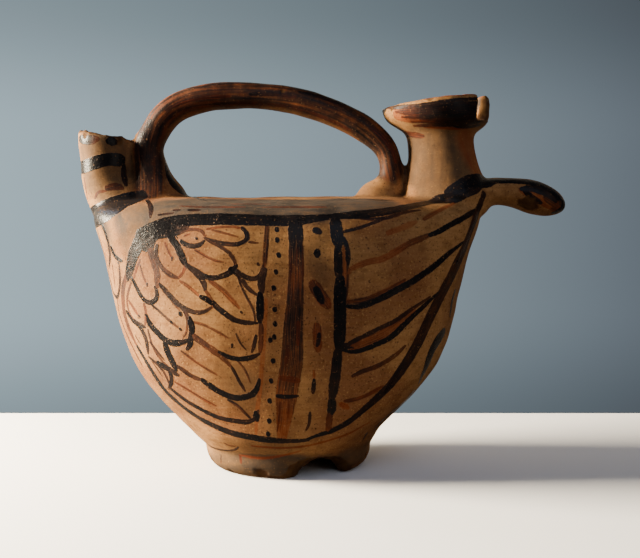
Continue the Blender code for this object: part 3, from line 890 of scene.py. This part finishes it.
def addPatterns(tree):
    place = addNode(tree, "TexCoord", {}, "Object")
    patterns = {}
    for name, (size, detail) in clayFinish["patterns"].items():
        links = {"Vector": place, "Scale": perMetre(size), "Detail": detail}
        patterns[name] = addNode(tree, "TexNoise", links)
    stretch = [perMetre(size) for size in clayFinish["rubbedSize"]]
    rubbed = addNode(tree, "Mapping", {"Vector": place, "Scale": stretch})
    links = {"Vector": rubbed, "Scale": 1.0, "Detail": clayFinish["rubbedDetail"]}
    patterns["rubbed"] = addNode(tree, "TexNoise", links)
    return patterns


def addWander(tree, patterns):
    # how far a stroke's edge strays, in mm; the patterns' mean is a half, so it strays both ways
    wander = -sum(slipFinish["wander"].values()) / 2
    for name, size in slipFinish["wander"].items():
        wander = addNode(tree, "Math", {0: patterns[name], 1: size, 2: wander}, operation="MULTIPLY_ADD")
    return wander


def nearestStroke(tree, layer):
    # of the layer's sets of strokes, the one whose edge is nearest: how far outside it, and its two vectors
    best = None
    for number in range(strokeSets[layer]):
        line = addNode(tree, "Attribute", {}, "Vector", attribute_name=f"{layer}Line{number}")
        flow = addNode(tree, "Attribute", {}, "Vector", attribute_name=f"{layer}Flow{number}")
        across, past, half = (addNode(tree, "SeparateXYZ", {0: line}, axis) for axis in range(3))
        reach = addNode(tree, "SeparateXYZ", {0: flow}, 2)
        beyond = addNode(tree, "Math", {0: past, 1: 0.0}, operation="MAXIMUM")
        flat = addNode(tree, "CombineXYZ", {0: across, 1: beyond})
        away = addNode(tree, "VectorMath", {0: flat}, "Value", operation="LENGTH")
        # between two strokes the signs cancel out, but the plain distance doesn't
        true = addNode(tree, "Math", {0: reach, 1: slipFinish["slack"]}, operation="SUBTRACT")
        away = addNode(tree, "Math", {0: away, 1: true}, operation="MAXIMUM")
        outside = addNode(tree, "Math", {0: away, 1: half}, operation="SUBTRACT")
        if best:
            closer = addNode(tree, "Math", {0: outside, 1: best[0]}, operation="LESS_THAN")
            line = addNode(tree, "Mix", {0: closer, 4: best[1], 5: line}, 1, data_type="VECTOR")
            flow = addNode(tree, "Mix", {0: closer, 4: best[2], 5: flow}, 1, data_type="VECTOR")
            outside = addNode(tree, "Math", {0: outside, 1: best[0]}, operation="MINIMUM")
        best = (outside, line, flow)
    return best


def slipLoad(tree, layer, patterns, line, flow):
    # how loaded the brush was at each spot, with the marks of its hairs and of wear
    across = addNode(tree, "SeparateXYZ", {0: line}, 0)
    along, load = (addNode(tree, "SeparateXYZ", {0: flow}, axis) for axis in (0, 1))
    hairWidth, hairLength, strength = slipFinish["hairs"][layer]
    run = addNode(tree, "Math", {0: along, 1: hairLength}, operation="DIVIDE")
    row = addNode(tree, "Math", {0: across, 1: hairWidth}, operation="DIVIDE")
    hairs = addNode(tree, "CombineXYZ", {0: run, 1: row})
    hairs = addNode(tree, "TexNoise", {"Vector": hairs, "Scale": 1.0, "Detail": 1.0})
    wear = slipFinish["wear"]
    uneven = 1 - (strength + wear) / 2  # the patterns' mean is a half, so the load is kept on the whole
    for value, share in ((hairs, strength), (patterns["wear"], wear)):
        uneven = addNode(tree, "Math", {0: value, 1: share, 2: uneven}, operation="MULTIPLY_ADD")
    return addNode(tree, "Math", {0: load, 1: uneven}, operation="MULTIPLY")


def laySlip(tree, layer, patterns, wander, colour, thickness):
    # one layer of slip over what is there: its colour and cover follow how loaded the brush was
    outside, line, flow = nearestStroke(tree, layer)
    half = addNode(tree, "SeparateXYZ", {0: line}, 2)
    loose = addNode(tree, "Math", {0: half, 1: slipFinish["looseness"]}, operation="MULTIPLY", use_clamp=True)
    outside = addNode(tree, "Math", {0: wander, 1: loose, 2: outside}, operation="MULTIPLY_ADD")
    edge = slipFinish["edges"][layer]
    links = {"Value": outside, "From Min": edge, "From Max": -edge}
    mask = addNode(tree, "MapRange", links, interpolation_type="SMOOTHSTEP")
    body = slipLoad(tree, layer, patterns, line, flow)
    ramps = []
    for stops in (slipFinish["grime" if layer == "grime" else "colours"], slipFinish["cover"]):
        ramps.append(addNode(tree, "ValToRGB", {0: body}))
        elements = ramps[-1].node.color_ramp.elements
        while len(elements) < len(stops):
            elements.new(0.5)
        for element, (position, value) in zip(elements, stops):
            element.position = position
            element.color = toLinear(value) if isinstance(value, str) else (value, value, value, 1)
    tint, cover = ramps
    # scuffs take the slip off in small flecks
    start, end, left = slipFinish["scuffs"]
    links = {"Value": patterns["scuffs"], "From Min": start, "From Max": end, "To Min": left}
    kept = addNode(tree, "MapRange", links, interpolation_type="SMOOTHSTEP")
    for share in (mask, kept):
        cover = addNode(tree, "Math", {0: cover, 1: share}, operation="MULTIPLY")
    colour = addNode(tree, "Mix", {0: cover, 6: colour, 7: tint}, 2, data_type="RGBA")
    # the grime layer, grime and painted shade, adds no gloss
    if layer == "grime":
        return colour, thickness
    low, high = slipFinish["glossy"]
    thick = addNode(tree, "MapRange", {"Value": body, "From Min": low, "From Max": high})
    thick = addNode(tree, "Math", {0: cover, 1: thick}, operation="MULTIPLY")
    return colour, addNode(tree, "Math", {0: thickness, 1: thick}, operation="MAXIMUM")


def layTint(tree, colour, value, span, tint):
    # a tint over what is there, as the value goes from the span's start to its end, and how strongly
    start, end, strength = span
    links = {"Value": value, "From Min": start, "From Max": end, "To Max": strength}
    share = addNode(tree, "MapRange", links, interpolation_type="SMOOTHSTEP")
    return share, addNode(tree, "Mix", {0: share, 6: colour, 7: tint}, 2, data_type="RGBA")


def makeClayMaterial():
    material, tree = newMaterial("burnishedFiredClay")
    patterns = addPatterns(tree)
    colour = clayFinish["tan"]
    for name, *span, tint in clayFinish["tints"]:
        _, colour = layTint(tree, colour, patterns[name], span, tint)
    wander = addWander(tree, patterns)
    thickness = 0.0
    for layer in strokeSets:
        colour, thickness = laySlip(tree, layer, patterns, wander, colour, thickness)

    # dirt and painted shade in the hollows, the plain inside, and bare clay, painted darker as shade, where
    # it is broken
    spots = (patterns["mottle"], clayFinish["brokenMottle"], clayFinish["brokenDark"])
    _, bare = layTint(tree, clayFinish["broken"], *spots)
    shares = {}
    for name, tint in (("crevice", clayFinish["dirtAndShade"]), ("inside", clayFinish["inside"]), ("broken", bare)):
        value = addNode(tree, "Attribute", {}, "Fac", attribute_name=name)
        shares[name], colour = layTint(tree, colour, value, clayFinish["covers"][name], tint)
    skin = addNode(tree, "Math", {0: 1.0, 1: shares["broken"]}, operation="SUBTRACT")
    thickness = addNode(tree, "Math", {0: thickness, 1: skin}, operation="MULTIPLY")

    # slip is glossier than clay, broken and inner faces are dull
    gloss = slipFinish["roughness"] - clayFinish["roughness"]
    roughness = clayFinish["roughness"] - clayFinish["unevenRoughness"] / 2
    for value, strength in (
        (thickness, gloss), (patterns["mottle"], clayFinish["unevenRoughness"]),
        (shares["broken"], clayFinish["dullness"]), (shares["inside"], clayFinish["dullness"]),
    ):
        roughness = addNode(tree, "Math", {0: value, 1: strength, 2: roughness}, operation="MULTIPLY_ADD")

    speckled = addNode(tree, "Math", {0: thickness, 1: patterns["scuffs"]}, operation="MULTIPLY")
    relief = [(patterns[name], height) for name, height in clayFinish["relief"].items()]
    relief += [(thickness, slipFinish["thickness"]), (speckled, slipFinish["specks"])]
    height = 0.0
    for value, strength in relief:
        height = addNode(tree, "Math", {0: value, 1: strength, 2: height}, operation="MULTIPLY_ADD")
    bump = addNode(tree, "Bump", {"Strength": clayFinish["bump"], "Distance": 1.0 * mm, "Height": height})
    shader = addNode(tree, "BsdfPrincipled", {
        "Base Color": colour, "Roughness": roughness, "Normal": bump,
        "IOR": clayFinish["ior"], "Specular IOR Level": clayFinish["specular"],
    })
    addNode(tree, "OutputMaterial", {"Surface": shader})
    return material


def makeAskos():
    mesh, shape = makeVesselMesh()
    for name, values in shape.items():
        storeField(mesh, name, values)
    paintFields(mesh, shape)
    mesh.shade_smooth()
    mesh.materials.clear()
    mesh.materials.append(makeClayMaterial())
    mesh.name = "paintedAskos"
    piece = newObject("paintedAskos", mesh)
    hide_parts("askos")
    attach(piece, "root")
    print("askos:", len(mesh.polygons), "faces")


# Studio: a pale floor, and a grey card that lies under it and turns up behind it
studio = {
    "floor": "#ecedef",
    "card": "#6b6661",
    "roughness": 0.9,
    "halfWidth": 250 * mm,
    "front": -180 * mm,
    "farEdge": 130 * mm,
    "cardBehind": 1 * mm,
    "foldAt": 131 * mm,
    "foldRadius": 12 * mm,
    "foldSteps": 12,
    "height": 300 * mm,
}


def makeSheet(name, profile, materialName, colour):
    # a sheet of paper or card through the points of its profile, which are y and z
    sides = (-studio["halfWidth"], studio["halfWidth"])
    mesh = bmesh.new()
    rows = [[mesh.verts.new((x, y, z)) for x in sides] for y, z in profile]
    for low, high in zip(rows, rows[1:]):
        mesh.faces.new((low[0], low[1], high[1], high[0]))
    data = bpy.data.meshes.new(name)
    mesh.to_mesh(data)
    mesh.free()
    data.shade_smooth()
    material, tree = newMaterial(materialName)
    shader = addNode(tree, "BsdfPrincipled", {"Base Color": colour, "Roughness": studio["roughness"]})
    addNode(tree, "OutputMaterial", {"Surface": shader})
    data.materials.append(material)
    sheet = newObject(name, data)
    return sheet


def makeFloor():
    # the pale floor throws no light back: the grey card does that, and no camera sees it
    profile = [(studio["front"], 0.0), (studio["farEdge"], 0.0)]
    floor = makeSheet("paleFloor", profile, "mattPaper", studio["floor"])
    for kind in ("diffuse", "glossy", "shadow"):
        setattr(floor, f"visible_{kind}", False)
    fold, radius = studio["foldAt"], studio["foldRadius"]
    profile = [(studio["front"], 0.0), (fold, 0.0)]
    for step in range(1, studio["foldSteps"] + 1):
        angle = math.radians(90 * step / studio["foldSteps"])
        profile.append((fold + radius * math.sin(angle), radius * (1 - math.cos(angle))))
    profile.append((fold + radius, studio["height"]))
    card = makeSheet("greyCard", profile, "mattCard", studio["card"])
    card.location = (0, studio["cardBehind"], -studio["cardBehind"])
    card.visible_camera = False
    print("floor laid")


# Light: name, where it stands, width and height, power in watts and colour; all look at the vessel
lamps = [
    ("windowLeft", (-0.63, -0.01, 0.25), (0.28, 0.22), 57.0, "#ffedce"),
    ("windowBack", (-0.52, 0.27, 0.44), (0.12, 0.12), 0.9, "#dfe9ff"),
    ("frontFill", (0.30, -1.25, 1.20), (1.20, 1.20), 8.5, "#dfe8ff"),
    ("rightFill", (0.86, -0.88, 0.25), (0.60, 0.60), 2.3, "#ffeede"),
]
vesselMiddle = Vector((-0.01, 0.0, 0.09))


def makeLights():
    for name, place, size, watts, colour in lamps:
        data = bpy.data.lights.new(name, "AREA")
        data.shape = "RECTANGLE"
        data.size, data.size_y = size
        data.energy = watts
        data.color = toLinear(colour)[:3]
        lamp = newObject(name, data)
        lamp.location = place
        lamp.rotation_euler = (vesselMiddle - Vector(place)).to_track_quat("-Z", "Y").to_euler()
    print("lights:", len(lamps))


# The sky lights the vessel a little from all round. The backdrop is what is seen behind it, with painted
# shade: darker to the right and away from the horizon
skyLight = {"colour": "#c3cfdb", "strength": 0.05}
backdrop = {
    "left": "#aec4ce",
    "right": "#667079",
    "sideways": 0.28,  # how far to the side a line of one metre goes where each colour is reached
    "dimFrom": 0.07,  # how far up or down it goes where the light begins to fall off, and where it ends
    "dimTo": 0.20,
    "dimmed": 0.58,
}


def makeWorld():
    world = bpy.data.worlds.new("softSky")
    world.use_nodes = True
    tree = world.node_tree
    tree.nodes.clear()
    sky = addNode(tree, "Background", {"Color": skyLight["colour"], "Strength": skyLight["strength"]})
    way = addNode(tree, "TexCoord", {}, "Generated")
    sideways, upward = (addNode(tree, "SeparateXYZ", {0: way}, axis) for axis in (0, 2))
    side = backdrop["sideways"]
    share = addNode(tree, "MapRange", {"Value": sideways, "From Min": -side, "From Max": side})
    # painted shade: the backdrop darkens from the left to the right, and away from the horizon
    links = {0: share, 6: backdrop["left"], 7: backdrop["right"]}
    colour = addNode(tree, "Mix", links, 2, data_type="RGBA")
    away = addNode(tree, "Math", {0: upward}, operation="ABSOLUTE")
    dimming = addNode(tree, "MapRange", {
        "Value": away, "From Min": backdrop["dimFrom"], "From Max": backdrop["dimTo"],
        "To Min": 1.0, "To Max": backdrop["dimmed"],
    }, interpolation_type="SMOOTHSTEP")
    paper = addNode(tree, "Background", {"Color": colour, "Strength": dimming})
    seen = addNode(tree, "LightPath", {}, "Is Camera Ray")
    both = addNode(tree, "MixShader", {0: seen, 1: sky, 2: paper})
    addNode(tree, "OutputWorld", {"Surface": both})
    bpy.context.scene.world = world


makeCamera()
makeAskos()
makeFloor()
makeLights()
makeWorld()
